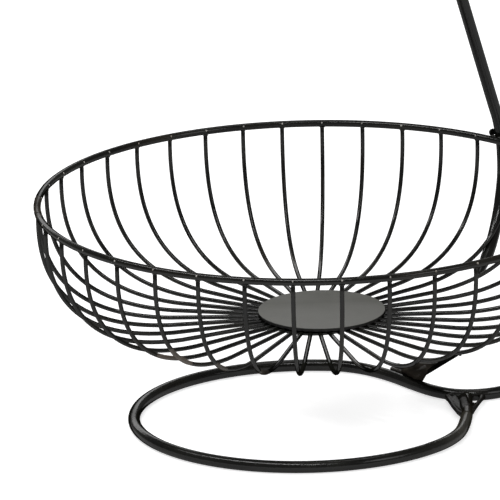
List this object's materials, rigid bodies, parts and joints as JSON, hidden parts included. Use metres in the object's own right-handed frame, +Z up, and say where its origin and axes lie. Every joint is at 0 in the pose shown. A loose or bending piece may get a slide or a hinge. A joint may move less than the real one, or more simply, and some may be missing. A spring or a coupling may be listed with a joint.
{
  "type": "two-tier fruit basket",
  "caption": "Wire fruit basket with a wide lower bowl on a loop of rod and a smaller upper bowl on a leaning rod pole.",
  "frame": {"origin": "on the table, straight under the middle of both bowls", "axes": "+Z up along the bowls' shared axis, -Y towards the viewer of the picture, +X to the viewer's right"},
  "size_m": [0.3038, 0.3038, 0.4106],
  "materials": {
    "black_wire": "satin black paint",
    "dark_sheet": "matt dark grey paint",
    "bright_steel": "bare steel"
  },
  "bodies": {
    "stand": {"base_rod": "black_wire", "pole": "black_wire", "bowl_strut": "black_wire", "rim_lug": "black_wire", "hub": "black_wire", "lower_rim": "black_wire", "lower_rib_pair_01": "black_wire", "lower_rib_pair_02": "black_wire", "lower_rib_pair_03": "black_wire", "lower_rib_pair_04": "black_wire", "lower_rib_pair_05": "black_wire", "lower_rib_pair_06": "black_wire", "lower_rib_pair_07": "black_wire", "lower_rib_pair_08": "black_wire", "lower_rib_pair_09": "black_wire", "lower_rib_pair_10": "black_wire", "lower_rib_pair_11": "black_wire", "lower_rib_pair_12": "black_wire", "lower_rib_pair_13": "black_wire", "lower_rib_pair_14": "black_wire", "lower_rib_pair_15": "black_wire", "lower_rib_pair_16": "black_wire", "lower_rib_pair_17": "black_wire", "lower_rib_pair_18": "black_wire", "lower_rib_pair_19": "black_wire", "lower_disc": "dark_sheet", "lower_floor_plate": "black_wire"},
    "upper_bowl": {"upper_rim": "black_wire", "upper_rib_pair_01": "black_wire", "upper_rib_pair_02": "black_wire", "upper_rib_pair_03": "black_wire", "upper_rib_pair_04": "black_wire", "upper_rib_pair_05": "black_wire", "upper_rib_pair_06": "black_wire", "upper_rib_pair_07": "black_wire", "upper_rib_pair_08": "black_wire", "upper_rib_pair_09": "black_wire", "upper_rib_pair_10": "black_wire", "upper_rib_pair_11": "black_wire", "upper_rib_pair_12": "black_wire", "upper_rib_pair_13": "black_wire", "upper_rib_pair_14": "black_wire", "upper_rib_pair_15": "black_wire", "upper_rib_pair_16": "black_wire", "upper_disc": "dark_sheet", "upper_floor_plate": "black_wire", "stud": "bright_steel", "washer": "bright_steel", "thumb_nut": "black_wire"}
  },
  "joints": [
    {"name": "upper_bowl_turn", "type": "hinge", "parent": "stand", "child": "upper_bowl", "pos_m": [0, 0, 0.345], "axis": [0, 0, 1], "continuous": true}
  ]
}
